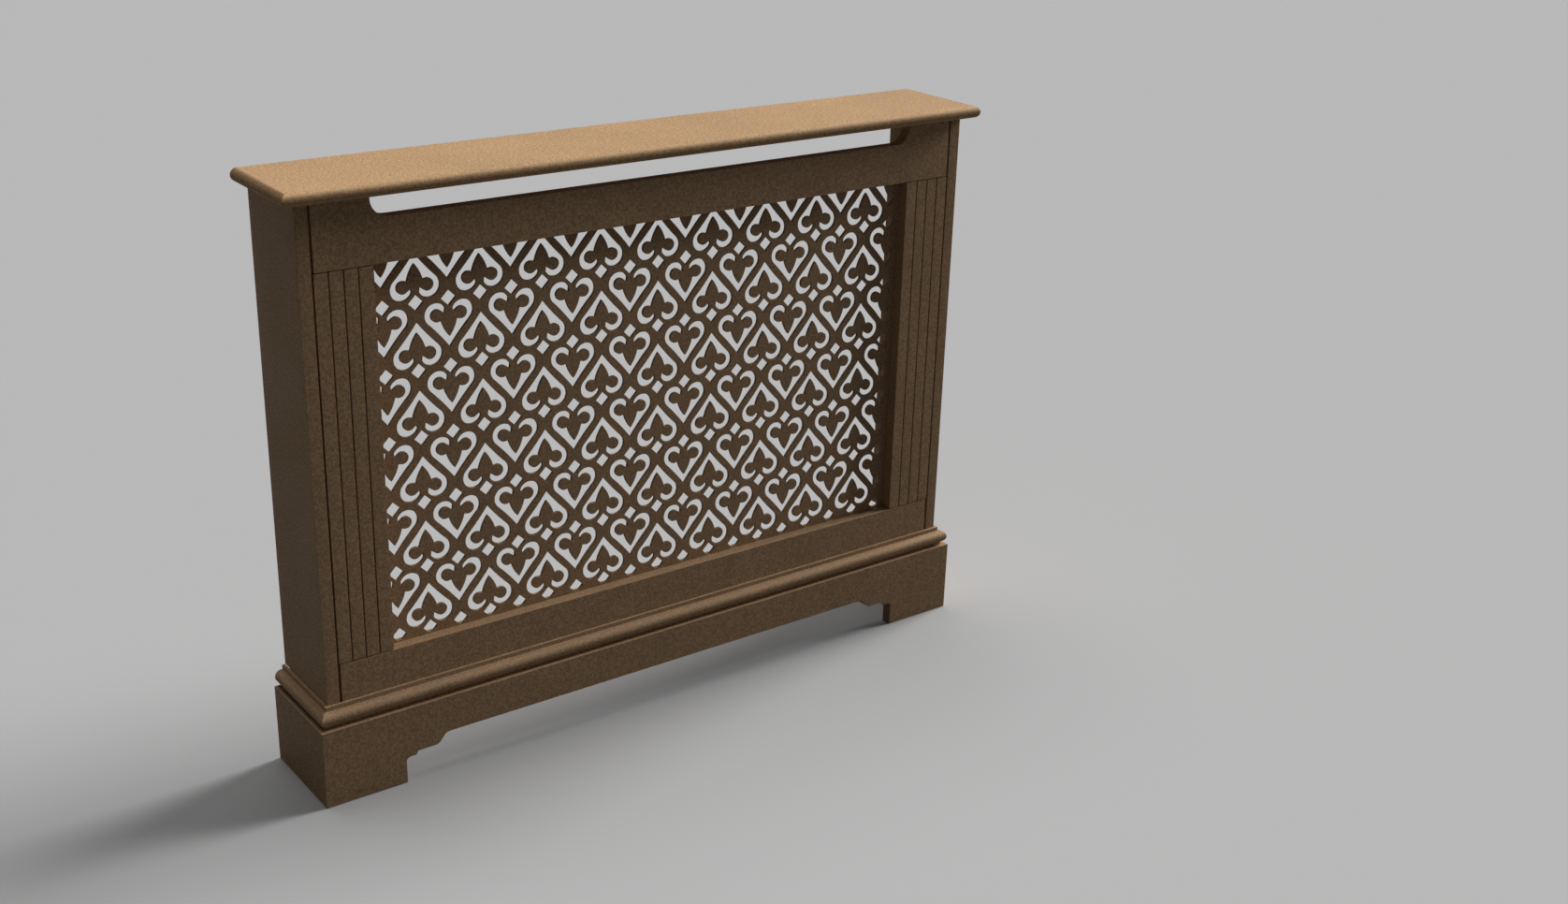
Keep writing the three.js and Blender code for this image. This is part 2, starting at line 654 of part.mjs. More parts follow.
// Drills every piece that a fastener enters, then adds the fastener itself.
function fasten(made) {
  const drill = (names, hole) => {
    for (const name of names) made.get(name).body = made.get(name).body.subtract(hole);
  };
  for (const { name, at, into } of dowelPlan()) {
    const hole = dowelProfile(DOWEL_RADIUS + FASTENER_CLEARANCE, DOWEL_LENGTH + 2 * BLIND_END);
    drill(into, turned(hole, at, [0, 0, 1]));
    const dowel = turned(dowelProfile(DOWEL_RADIUS, DOWEL_LENGTH), at, [0, 0, 1]);
    made.set(name, { body: dowel, material: MATERIALS.dowel });
  }
  for (const { name, at, direction, grip, into } of screwPlan()) {
    const length = grip + JOINT_GAP + SCREW_BITE;
    drill(into, turned(screwHole(length), at, direction));
    made.set(name, { body: turned(screwProfile(length), at, direction), material: MATERIALS.steel });
  }
}

const cabinet = new THREE.Group();
const pieces = bodies();
fasten(pieces);
for (const [name, { body, material }] of pieces) cabinet.add(meshOf(name, body, material));

export default cabinet;
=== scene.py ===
"""Dresses the radiator cover cabinet: finished fibreboard pieces, the smooth pierced lattice,
softwood inside, steel fittings, and a plain studio seen from the photograph's angle."""

import math

import bmesh
import bpy
from mathutils import Matrix, Vector
from mathutils.geometry import delaunay_2d_cdt


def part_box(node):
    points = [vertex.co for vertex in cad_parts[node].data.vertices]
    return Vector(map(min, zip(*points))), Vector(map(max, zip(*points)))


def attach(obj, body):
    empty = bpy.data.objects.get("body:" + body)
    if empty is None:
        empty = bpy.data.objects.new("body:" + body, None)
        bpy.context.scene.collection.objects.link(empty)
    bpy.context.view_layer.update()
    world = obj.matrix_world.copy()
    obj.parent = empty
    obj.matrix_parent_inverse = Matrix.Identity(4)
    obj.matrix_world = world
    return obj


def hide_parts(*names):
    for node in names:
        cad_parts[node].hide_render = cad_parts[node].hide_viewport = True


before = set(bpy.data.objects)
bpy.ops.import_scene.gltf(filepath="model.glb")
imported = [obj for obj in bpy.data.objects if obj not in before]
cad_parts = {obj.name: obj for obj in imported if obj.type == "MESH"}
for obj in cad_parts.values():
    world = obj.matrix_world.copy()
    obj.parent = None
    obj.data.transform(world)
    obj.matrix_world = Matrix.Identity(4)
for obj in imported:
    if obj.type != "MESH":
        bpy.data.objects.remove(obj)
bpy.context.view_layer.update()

MM = 0.001

# ---- Sizes read from the frame -----------------------------------------------------------------

SHELF_LOW, SHELF_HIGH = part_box("top_shelf")
PANEL_LOW, PANEL_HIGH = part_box("right_side_panel")
STILE_LOW, STILE_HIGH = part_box("right_stile")
TOP_RAIL_LOW, TOP_RAIL_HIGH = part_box("top_rail")
BOTTOM_RAIL_LOW, BOTTOM_RAIL_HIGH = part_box("bottom_rail")
GRILLE_LOW, GRILLE_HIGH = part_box("grille_panel")
PLINTH_LOW, PLINTH_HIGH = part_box("front_plinth")
BEAD_LOW, BEAD_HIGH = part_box("front_bead")

FRONT = PANEL_LOW.y  # face of the frame
REAR = PANEL_HIGH.y  # the wall
OPENING_HALF = STILE_LOW.x
OPENING_TOP = TOP_RAIL_LOW.z
OPENING_BOTTOM = BOTTOM_RAIL_HIGH.z

# ---- Sizes that the frame's boxes don't give ---------------------------------------------------

EASE = 0.45 * MM  # rounding of the boards' edges
EASE_SEGMENTS = 2
STILE_EASE = 0.36 * MM
TIMBER_EASE = 0.9 * MM
JOINT_OPEN = 1.0 * MM  # how far a joined end stops short of its box, for a clear dark line
SHARP_ANGLE = math.radians(32)
MITRE_TOLERANCE = 0.01  # in the parts of a face's normal
MERGE_DISTANCE = 0.001 * MM  # points of a mesh this close are one point
INSIDE_ONLY = 1  # the triangulation's mode that leaves out what lies outside the outline
TRIANGLE_TOLERANCE = 1e-7

NOSE_STEPS = 18  # flats round the shelf's half-round edge
GROOVE_COUNT = 3
GROOVE_PITCH = 20 * MM
GROOVE_WIDTH = 2.2 * MM
GROOVE_DEPTH = 4.5 * MM
REBATE_WIDTH = 2.2 * MM
REBATE_DEPTH = 6 * MM
SLOT_HEIGHT = 30.5 * MM
SLOT_CORNER_RADIUS = 25 * MM
SLOT_CORNER_STEPS = 14

FOOT_WIDTH = 120 * MM
ARCH_HEIGHT = 60 * MM
FOOT_STRAIGHT = 33 * MM
FOOT_ROUND = 6 * MM
FOOT_LEDGE = 9 * MM
FOOT_STEP = 5.5 * MM
CUSP_LENGTH = 26 * MM
OGEE_LENGTH = 24 * MM
OGEE_STEPS = 14
FOOT_ROUND_STEPS = 8

BEAD_RADIUS = 10 * MM
BEAD_NECK = 9 * MM
BEAD_FILLET = 4.5 * MM
BEAD_DROP = 1.5 * MM
BEAD_STEPS = 24
SKIRTING_NOTCH_DEPTH = 15 * MM

GRILLE_BORDER = 2 * MM
GRILLE_SIDE_BORDER = 9 * MM
GRILLE_EASE = 0.25 * MM
LATTICE_PITCH = 93.5 * MM
LATTICE_FOOT = 9.3 * MM
DIAMOND_HALF = 10.8 * MM
MOTIF_TIP = 67.2 * MM
FLANK_HOLLOW = 0.9 * MM  # how far the flanks below the motif's point curve inwards
LOBE = (19.5 * MM, 20.7 * MM)
LOBE_RADIUS = 15.7 * MM
LEAF_TIP = 52.8 * MM
LEAF_SWELL = 1.5 * MM  # how far the leaf's flanks curve outwards
LEAF_SHOULDER = (11.3 * MM, 30.2 * MM)
LEAF_LOBE = (17.5 * MM, 22.6 * MM)
LEAF_LOBE_RADIUS = 8.75 * MM
LEAF_LOBE_END = math.radians(101)
LEAF_NECK = (5.4 * MM, 13.7 * MM)
LEAF_NOTCH = (6.3 * MM, 20.1 * MM)
LOBE_STEPS = 20
LEAF_STEPS = 16
FLANK_STEPS = 6
OUTLINE_STEP = 0.01 * MM  # points of an outline this close are one point
MITRE_LIMIT = 0.4  # keeps the corners of a widened outline from running far out

SCREW_HEAD_RADIUS = 4 * MM
SCREW_HEAD_HEIGHT = 1.9 * MM
SCREW_RADIUS = 2 * MM
SCREW_CORE = 1.35 * MM
SCREW_PLAIN_RADIUS = 1.512 * MM
SCREW_TIP = 0.03  # width of the point as a share of the shank
SCREW_RIM = 0.25 * MM  # height of the head's straight rim
SCREW_SIDES = 24
RINGS_PER_TURN = 6
THREAD_FLANK = 0.2  # half the width of the thread's ridge as a share of its pitch
SCREW_PITCH = 1.8 * MM
SCREW_POINT = 5 * MM
SCREW_PLAIN = 8 * MM  # unthreaded length under the head of the long screws
SCREW_PLAIN_SHARE = 0.3  # and the most that it takes of a short one
RECESS_REACH = 2.3 * MM  # arms of the cross recess
RECESS_WIDTH = 1.0 * MM
RECESS_DEPTH = 1.4 * MM
RECESS_FLOOR_REACH = 1.38 * MM
RECESS_FLOOR_WIDTH = 0.8 * MM
CUTTER_SIDES = 32
CUTTER_OVERSHOOT = 1 * MM
FASTENER_CLEARANCE = 0.3 * MM
DOWEL_RADIUS = 4 * MM
DOWEL_FLUTES = 16
POINTS_PER_FLUTE = 4
DOWEL_FLUTE_DEPTH = 0.25 * MM
DOWEL_CHAMFER = 1.2 * MM
DOWEL_END = 0.8  # radius of the chamfered end as a share of the dowel's

BRACKET_THICKNESS = 2 * MM
BRACKET_EASE = 0.25 * MM
BRACKET_BEND = 3 * MM
BRACKET_BEND_STEPS = 10
BRACKET_CORNER = 4 * MM
BRACKET_CORNER_STEPS = 8
WALL_HOLE_RADIUS = 2.6 * MM
WALL_HOLE_RISE = 10 * MM

# ---- Outlines ----------------------------------------------------------------------------------


def arc(centre, radius, start, end, steps):
    """Points along an arc, both ends included, with angles in radians."""
    turns = [start + (end - start) * i / steps for i in range(steps + 1)]
    return [(centre[0] + radius * math.cos(t), centre[1] + radius * math.sin(t)) for t in turns]


def bezier(a, b, c, d, steps):
    """Points along a cubic curve, both ends included."""
    points = []
    for i in range(steps + 1):
        t = i / steps
        u = 1 - t
        weights = (u**3, 3 * u * u * t, 3 * u * t * t, t**3)
        points.append(tuple(sum(w * p[k] for w, p in zip(weights, (a, b, c, d))) for k in (0, 1)))
    return points


def mirrored(points):
    """The same outline on the other side of x = 0, run backwards."""
    return [(-x, y) for x, y in reversed(points)]


def both_sides(half):
    """A closed outline from its right half."""
    return half + mirrored(half)


# ---- Meshes ------------------------------------------------------------------------------------


def loft(bm, rings, closed=True):
    """Quads between rings of as many points each, with a flat face on both end rings."""
    grid = [[bm.verts.new(p) for p in ring] for ring in rings]
    for a, b in zip(grid, grid[1:]):
        for i in range(len(a)):
            j = (i + 1) % len(a)
            bm.faces.new((a[i], a[j], b[j], b[i]))
    if closed:
        bm.faces.new(list(reversed(grid[0])))
        bm.faces.new(grid[-1])
    return grid


def lofted(*rings):
    """A new mesh lofted through the rings."""
    bm = bmesh.new()
    loft(bm, rings)
    return bm


def slab(low, high):
    """A plain block between two corners."""
    base = [(low[0], low[1]), (high[0], low[1]), (high[0], high[1]), (low[0], high[1])]
    return lofted(*[[(x, y, z) for x, y in base] for z in (low[2], high[2])])


def settle(obj):
    """Applies the modifiers of an object to its mesh."""
    evaluated = obj.evaluated_get(bpy.context.evaluated_depsgraph_get())
    mesh = bpy.data.meshes.new_from_object(evaluated)
    obj.modifiers.clear()
    obj.data = mesh


def steady_normals(obj):
    """Keeps the shading of large flat faces flat beside their small rounded edges."""
    weighted = obj.modifiers.new("steady", "WEIGHTED_NORMAL")
    weighted.keep_sharp = True
    settle(obj)


def is_mitre(face):
    """Whether a face is upright and stands at 45 degrees to the front."""
    slant = abs(abs(face.normal.x) - abs(face.normal.y))
    return max(slant, abs(face.normal.z)) < MITRE_TOLERANCE


def ease_edges(obj, width):
    """Rounds every sharp edge a little, as sanding does. Mitred ends stay crisp."""
    bm = bmesh.new()
    bm.from_mesh(obj.data)
    weight = bm.edges.layers.float.new("bevel_weight_edge")
    for edge in bm.edges:
        sharp = edge.calc_face_angle(0.0) > SHARP_ANGLE
        if sharp and not any(is_mitre(face) for face in edge.link_faces):
            edge[weight] = 1.0
    bm.to_mesh(obj.data)
    bm.free()
    bevel = obj.modifiers.new("ease", "BEVEL")
    bevel.width = width
    bevel.segments = EASE_SEGMENTS
    bevel.limit_method = "WEIGHT"
    settle(obj)


def drilled(obj, cutter):
    """Cuts another object out of this one and deletes the cutter."""
    cut = obj.modifiers.new("cut", "BOOLEAN")
    cut.operation = "DIFFERENCE"
    cut.solver = "EXACT"
    cut.object = cutter
    bpy.context.view_layer.update()
    settle(obj)
    bpy.data.objects.remove(cutter)


def mark_cut_edges(mesh, axis):
    """Stores on each face how far it turns away from the board's face: 0 on the face itself,
    1 on an edge that was sawn or routed."""
    layer = mesh.attributes.new("cut_edge", "FLOAT", "FACE")
    for face in mesh.polygons:
        facing = abs(face.normal[axis]) if axis is not None else 0.0
        layer.data[face.index].value = 1.0 - facing**4


def placed_object(name, bm):
    """Links a new object that holds the mesh, with its faces turned outwards."""
    bmesh.ops.recalc_face_normals(bm, faces=bm.faces[:])
    mesh = bpy.data.meshes.new(name)
    bm.to_mesh(mesh)
    bm.free()
    obj = bpy.data.objects.new(name, mesh)
    bpy.context.scene.collection.objects.link(obj)
    return obj


def finish_piece(obj, node, finish, axis=None):
    """Smooths and paints a piece that stands for a CAD node, and fixes it to the cabinet."""
    obj.data.shade_smooth()
    obj.data.set_sharp_from_angle(angle=SHARP_ANGLE)
    steady_normals(obj)
    mesh = obj.data
    mark_cut_edges(mesh, axis)
    mesh.materials.clear()
    mesh.materials.append(finish)
    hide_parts(node)
    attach(obj, "root")
    return obj


def board(node, bm, finish, axis=None, ease=EASE):
    """A finished board: the mesh with its edges eased. axis is the one across its thickness."""
    obj = placed_object("finished_" + node, bm)
    ease_edges(obj, ease)
    return finish_piece(obj, node, finish, axis)


# ---- Materials ---------------------------------------------------------------------------------

FLECKS_PER_METRE = 340
FIBRES_PER_METRE = 240
BLOTCHES_PER_METRE = 11
CUT_SHARE = 0.75  # how much of the cut edge's colour shows there: partly the sawn fibre, partly painted shade
EDGE_HIGHLIGHT_SHARE = 0.3  # how far a rounded edge is lightened towards the pale fibre, as a painted highlight
BOARD_GLOSS = 0.12


def srgb(red, green, blue):
    """A colour given as 0 to 255 screen values, as linear values."""
    def linear(value):
        share = value / 255
        return share / 12.92 if share <= 0.04045 else ((share + 0.055) / 1.055) ** 2.4

    return (linear(red), linear(green), linear(blue), 1.0)


class Nodes:
    """A short way to write a material's nodes."""

    def __init__(self, name):
        """Starts a material with one principled shader."""
        self.material = bpy.data.materials.new(name)
        self.material.use_nodes = True
        self.tree = self.material.node_tree
        self.tree.nodes.clear()
        self.shader = self.add("ShaderNodeBsdfPrincipled")
        output = self.add("ShaderNodeOutputMaterial")
        self.link(self.shader.outputs["BSDF"], output.inputs["Surface"])

    def add(self, kind, **settings):
        """A new node with the given properties."""
        node = self.tree.nodes.new(kind)
        for key, value in settings.items():
            setattr(node, key, value)
        return node

    def link(self, source, target):
        self.tree.links.new(source, target)

    def place(self, scale=(1, 1, 1), turn=(0, 0, 0)):
        """Object coordinates in metres, stretched and turned."""
        where = self.add("ShaderNodeTexCoord")
        mapping = self.add("ShaderNodeMapping")
        mapping.inputs["Scale"].default_value = scale
        mapping.inputs["Rotation"].default_value = turn
        self.link(where.outputs["Object"], mapping.inputs["Vector"])
        return mapping.outputs["Vector"]

    def noise(self, vector, scale, detail=2.0, roughness=0.5, distortion=0.0):
        """Noise with so many bumps to a unit of the vector."""
        node = self.add("ShaderNodeTexNoise")
        node.inputs["Scale"].default_value = scale
        node.inputs["Detail"].default_value = detail
        node.inputs["Roughness"].default_value = roughness
        node.inputs["Distortion"].default_value = distortion
        self.link(vector, node.inputs["Vector"])
        return node.outputs["Fac"]

    def spread(self, value, low, high, to_low=0.0, to_high=1.0):
        """A value stretched from one range to another, and clamped."""
        node = self.add("ShaderNodeMapRange")
        ends = {"From Min": low, "From Max": high, "To Min": to_low, "To Max": to_high}
        for key, number in ends.items():
            node.inputs[key].default_value = number
        self.link(value, node.inputs["Value"])
        return node.outputs["Result"]

    def mix(self, factor, a, b, blend="MIX"):
        """Two colours mixed. factor, a and b are sockets or constants."""
        node = self.add("ShaderNodeMix", data_type="RGBA", blend_type=blend)
        for key, value in (("Factor", factor), ("A", a), ("B", b)):
            socket = [s for s in node.inputs if s.name == key and s.enabled][0]
            if isinstance(value, bpy.types.NodeSocket):
                self.link(value, socket)
            else:
                socket.default_value = value
        return [s for s in node.outputs if s.enabled][0]

    def attribute(self, name):
        """A value stored on the mesh."""
        return self.add("ShaderNodeAttribute", attribute_name=name).outputs["Fac"]

    def maths(self, operation, a, b):
        """One sum on two sockets or constants."""
        node = self.add("ShaderNodeMath", operation=operation)
        for socket, value in zip(node.inputs, (a, b)):
            if isinstance(value, bpy.types.NodeSocket):
                self.link(value, socket)
            else:
                socket.default_value = value
        return node.outputs[0]

    def bump(self, height, distance, strength=1.0, below=None):
        """A normal bent by a height, on top of another one if below is given."""
        node = self.add("ShaderNodeBump")
        node.inputs["Distance"].default_value = distance
        node.inputs["Strength"].default_value = strength
        self.link(height, node.inputs["Height"])
        if below is not None:
            self.link(below, node.inputs["Normal"])
        return node.outputs["Normal"]

    def finish(self, colour, roughness, normal):
        """Wires up the shader and hands over the material."""
        self.link(colour, self.shader.inputs["Base Color"])
        self.link(roughness, self.shader.inputs["Roughness"])
        self.link(normal, self.shader.inputs["Normal"])
        return self.material


def scaled(colour, share):
    """A colour made darker or lighter, at most white."""
    return tuple(min(1.0, c * share) for c in colour[:3]) + (1.0,)


def fibreboard(name, light, dark, edge):
    """Bare fibreboard: a fine two-tone fleck, soft blotches, rougher cut edges darkened partly by
    their sawn fibre and partly by painted shade, and a painted highlight on rounded edges."""
    n = Nodes(name)
    where = n.place()
    fleck = n.noise(where, FLECKS_PER_METRE, 3.0, 0.7, 0.4)
    fibre = n.noise(n.place((1, 1, 3.2), (0.5, 0.3, 0.2)), FIBRES_PER_METRE, 3.0, 0.6, 2.2)
    blotch = n.noise(where, BLOTCHES_PER_METRE, 3.0, 0.55)
    cut = n.attribute("cut_edge")
    face = n.mix(n.spread(fleck, 0.44, 0.56), dark, light)
    # The pale fibre colour serves both the grain's pale streaks and the painted highlight on
    # rounded edges.
    pale_fibre_and_highlight = scaled(light, 1.28)
    face = n.mix(n.spread(fibre, 0.58, 0.72, 0.0, 0.5), face, pale_fibre_and_highlight)
    face = n.mix(n.spread(fibre, 0.42, 0.3, 0.0, 0.45), face, scaled(dark, 0.72))
    # Cut edges take a darker colour: partly the sawn fibre's own tone, partly painted shade.
    cut_tone_and_shade = n.mix(n.spread(fleck, 0.36, 0.64), edge, light)
    colour = n.mix(n.maths("MULTIPLY", cut, CUT_SHARE), face, cut_tone_and_shade)
    # Painted highlight: rounded edges, such as the bead's round and the plinth's top edge, are
    # lightened towards the pale fibre.
    edge_highlight = n.maths("MULTIPLY", n.spread(cut, 0.1, 0.5), n.spread(cut, 0.99, 0.9))
    colour = n.mix(n.maths("MULTIPLY", edge_highlight, EDGE_HIGHLIGHT_SHARE), colour, pale_fibre_and_highlight)
    shade = n.mix(n.spread(blotch, 0.3, 0.7), (0.93, 0.93, 0.93, 1), (1.05, 1.05, 1.05, 1))
    colour = n.mix(1.0, colour, shade, "MULTIPLY")
    rough_cut = n.maths("MULTIPLY", cut, 0.1)
    roughness = n.maths("ADD", n.spread(blotch, 0.3, 0.7, 0.58, 0.7), rough_cut)
    n.shader.inputs["Specular IOR Level"].default_value = BOARD_GLOSS
    normal = n.bump(fleck, 0.12 * MM, 0.5, n.bump(fibre, 0.2 * MM, 0.35))
    return n.finish(colour, roughness, normal)


def softwood(name, axis):
    """Planed pine with its grain along one axis."""
    n = Nodes(name)
    along = [26.0, 26.0, 26.0]
    along[axis] = 1.3
    where = n.place(tuple(along))
    rings = n.noise(where, 3.2, 3.0, 0.5, 1.4)
    bands = n.add("ShaderNodeTexWave", wave_type="BANDS", bands_direction="DIAGONAL")
    bands.inputs["Scale"].default_value = 1.4
    bands.inputs["Distortion"].default_value = 5.0
    bands.inputs["Detail"].default_value = 3.0
    n.link(where, bands.inputs["Vector"])
    pores = n.noise(where, 42, 2.0, 0.7)
    grain = n.spread(bands.outputs["Fac"], 0.25, 0.85)
    colour = n.mix(grain, srgb(214, 184, 138), srgb(176, 134, 84))
    colour = n.mix(n.spread(rings, 0.35, 0.7, 0.0, 0.5), colour, srgb(226, 200, 158))
    colour = n.mix(n.spread(pores, 0.56, 0.7, 0.0, 0.35), colour, srgb(150, 108, 66))
    roughness = n.spread(pores, 0.3, 0.7, 0.5, 0.68)
    normal = n.bump(pores, 0.1 * MM, 0.4)
    return n.finish(colour, roughness, normal)


def beech(name):
    """Turned beech for the dowels."""
    n = Nodes(name)
    where = n.place((90, 90, 6))
    ray = n.noise(where, 6, 3.0, 0.6, 0.5)
    colour = n.mix(n.spread(ray, 0.35, 0.65), srgb(205, 170, 128), srgb(226, 196, 156))
    return n.finish(colour, n.spread(ray, 0.3, 0.7, 0.45, 0.6), n.bump(ray, 0.1 * MM, 0.3))


def zinc(name, tint):
    """Zinc-plated steel with faint streaks and a dull film."""
    n = Nodes(name)
    streak = n.noise(n.place((30, 30, 400)), 4, 3.0, 0.6)
    film = n.noise(n.place(), 180, 3.0, 0.6)
    colour = n.mix(n.spread(film, 0.35, 0.7), tint, scaled(tint, 0.72))
    n.shader.inputs["Metallic"].default_value = 1.0
    roughness = n.spread(streak, 0.3, 0.7, 0.28, 0.46)
    return n.finish(colour, roughness, n.bump(film, 0.05 * MM, 0.25))


# Shelf and carcass are one fibreboard: the shelf's lighter colour is painted light for the lit
# top, and the carcass's darker colour is painted shade for its upright faces.
SHELF_FINISH = fibreboard(
    "shelf_fibreboard", srgb(197, 161, 120), srgb(158, 125, 91), srgb(148, 117, 84)
)
BOARD_FINISH = fibreboard(
    "carcass_fibreboard", srgb(184, 152, 118), srgb(150, 121, 92), srgb(146, 116, 86)
)
# The grille's cut-edge colour is nearly black: painted shade in the walls of its holes.
GRILLE_FINISH = fibreboard(
    "grille_fibreboard", srgb(179, 147, 114), srgb(147, 118, 90), srgb(58, 43, 31)
)
PINE = [softwood("pine_along_" + letter, axis) for axis, letter in enumerate("xyz")]
BEECH = beech("beech_dowel")
ZINC = zinc("zinc_plated_steel", srgb(196, 198, 200))
SCREW_ZINC = zinc("passivated_screw", srgb(206, 190, 140))

# ---- Shelf -------------------------------------------------------------------------------------


def shelf():
    """A board with a half-round edge along its front and both ends, mitred at the corners."""
    radius = (SHELF_HIGH.z - SHELF_LOW.z) / 2
    middle = SHELF_LOW.z + radius
    nose = arc((-radius, middle), radius, -math.pi / 2, math.pi / 2, NOSE_STEPS)
    rings = []
    for out, z in nose:
        x = SHELF_HIGH.x + out
        y = SHELF_LOW.y - out
        rings.append([(-x, SHELF_HIGH.y, z), (-x, y, z), (x, y, z), (x, SHELF_HIGH.y, z)])
    bm = bmesh.new()
    loft(bm, rings)
    board("top_shelf", bm, SHELF_FINISH, axis=2)


# ---- Carcass -----------------------------------------------------------------------------------


def side_panels():
    """Each has a notch at the foot of its rear edge for the skirting board."""
    notch_y = REAR - SKIRTING_NOTCH_DEPTH
    outline = [
        (FRONT, PANEL_LOW.z),
        (notch_y, PANEL_LOW.z),
        (notch_y, BEAD_HIGH.z),
        (REAR, BEAD_HIGH.z),
        (REAR, PANEL_HIGH.z),
        (FRONT, PANEL_HIGH.z),
    ]
    for side in ("left", "right"):
        low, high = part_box(side + "_side_panel")
        bm = lofted(*[[(x, y, z) for y, z in outline] for x in (low.x, high.x)])
        board(side + "_side_panel", bm, BOARD_FINISH, axis=0)


def rail(node, outline):
    """A board with a shadow line at both ends of its face. outline gives its points in X and Z
    for a given half length."""
    low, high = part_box(node)
    end = high.x - JOINT_OPEN
    behind = low.y + REBATE_DEPTH
    short = end - REBATE_WIDTH
    steps = ((short, low.y), (short, behind), (end, behind), (end, high.y))
    bm = lofted(*[[(x, y, z) for x, z in outline(half)] for half, y in steps])
    bmesh.ops.remove_doubles(bm, verts=bm.verts[:], dist=MERGE_DISTANCE)
    board(node, bm, BOARD_FINISH, axis=1)


def top_rail():
    """Its upper edge is cut away into the warm-air slot, with round lower corners."""
    low, high = TOP_RAIL_LOW, TOP_RAIL_HIGH
    ledge = SHELF_LOW.z - SLOT_HEIGHT
    r = SLOT_CORNER_RADIUS
    corner = arc((OPENING_HALF - r, ledge + r), r, 0, -math.pi / 2, SLOT_CORNER_STEPS)
    rail("top_rail", lambda end: both_sides(
        [(end, low.z), (end, high.z), (OPENING_HALF, high.z)] + corner
    ))


def bottom_rail():
    """A plain board between the side panels."""
    low, high = BOTTOM_RAIL_LOW, BOTTOM_RAIL_HIGH
    rail("bottom_rail", lambda end: both_sides([(end, low.z), (end, high.z)]))


def stiles():
    """Three V grooves down the face, and a shadow line where the side panel begins."""
    low, high = STILE_LOW, STILE_HIGH
    face = [(low.x, high.y), (low.x, low.y)]
    for i in range(1, GROOVE_COUNT + 1):
        x = low.x + i * GROOVE_PITCH
        face.append((x - GROOVE_WIDTH / 2, low.y))
        face.append((x, low.y + GROOVE_DEPTH))
        face.append((x + GROOVE_WIDTH / 2, low.y))
    face.append((high.x - REBATE_WIDTH, low.y))
    face.append((high.x - REBATE_WIDTH, low.y + REBATE_DEPTH))
    face.append((high.x, low.y + REBATE_DEPTH))
    face.append((high.x, high.y))
    for side, outline in (("left", mirrored(face)), ("right", face)):
        ends = (low.z + JOINT_OPEN, high.z - JOINT_OPEN)
        bm = lofted(*[[(x, y, z) for x, y in outline] for z in ends])
        board(side + "_stile", bm, BOARD_FINISH, axis=1, ease=STILE_EASE)


# ---- Grille ------------------------------------------------------------------------------------


def bowed(a, b, swell, steps):
    """Points from a to b along a curve whose middle lies off to the right of the way."""
    reach = 2 * swell / math.dist(a, b)
    control = [(a[k] + b[k]) / 2 for k in (0, 1)]
    control[0] += (b[1] - a[1]) * reach
    control[1] -= (b[0] - a[0]) * reach
    points = []
    for i in range(steps + 1):
        t = i / steps
        u = 1 - t
        points.append(tuple(u * u * a[k] + 2 * u * t * control[k] + t * t * b[k] for k in (0, 1)))
    return points


def touching(centre, radius, point, side):
    """The angle at which a straight line from a point touches a circle, on one side of it."""
    away = (point[0] - centre[0], point[1] - centre[1])
    return math.atan2(away[1], away[0]) + side * math.acos(radius / math.hypot(*away))


def motif():
    """The pierced outline of one spade round its three-lobed leaf, standing on the origin."""
    tip = (0.0, MOTIF_TIP)
    leaf_tip = (0.0, LEAF_TIP)
    stem = math.atan2(LEAF_NECK[1] - LOBE[1], LEAF_NECK[0] - LOBE[0])
    lobe = arc(LOBE, LOBE_RADIUS, touching(LOBE, LOBE_RADIUS, tip, -1), stem, LOBE_STEPS)
    start = touching(LEAF_LOBE, LEAF_LOBE_RADIUS, LEAF_NOTCH, 1)
    leaf = arc(LEAF_LOBE, LEAF_LOBE_RADIUS, start, LEAF_LOBE_END, LEAF_STEPS)
    half = bowed(tip, lobe[0], FLANK_HOLLOW, FLANK_STEPS)[1:-1] + lobe + [LEAF_NOTCH] + leaf
    half += bowed(LEAF_SHOULDER, leaf_tip, LEAF_SWELL, FLANK_STEPS)[:-1]
    return [tip] + half + [leaf_tip] + mirrored(half)


def clipped(loop, axis, limit, keep_below):
    """The parts of a closed outline on one side of a line x = limit or y = limit, as a list of
    closed outlines. The points where it crosses are joined in pairs along the line."""
    sign = 1 if keep_below else -1
    inside = [sign * (limit - p[axis]) > 0 for p in loop]
    if all(inside):
        return [loop]
    if not any(inside):
        return []
    chains = []
    count = len(loop)
    for start in range(count):
        if inside[start] or not inside[(start + 1) % count]:
            continue
        chain = [crossing(loop[start], loop[(start + 1) % count], axis, limit)]
        i = (start + 1) % count
        while inside[i]:
            chain.append(loop[i])
            i = (i + 1) % count
        chain.append(crossing(loop[i - 1], loop[i], axis, limit))
        chains.append(chain)
    return joined_along_line(chains, 1 - axis)


def crossing(a, b, axis, limit):
    """Where the stretch from a to b meets the line."""
    share = (limit - a[axis]) / (b[axis] - a[axis])
    point = [a[k] + share * (b[k] - a[k]) for k in (0, 1)]
    point[axis] = limit
    return tuple(point)


def joined_along_line(chains, along):
    """Closes open chains whose ends all lie on one line, pairing neighbours along it."""
    ends = sorted(
        (chain[k][along], index, k) for index, chain in enumerate(chains) for k in (0, -1)
    )
    partner = {}
    for first, second in zip(ends[::2], ends[1::2]):
        partner[first[1:]] = second[1:]
        partner[second[1:]] = first[1:]
    loops = []
    left = set(range(len(chains)))
    while left:
        index = min(left)
        loop = []
        while index in left:
            left.discard(index)
            loop += chains[index]
            index = partner[(index, -1)][0]
        loops.append(loop)
    return loops


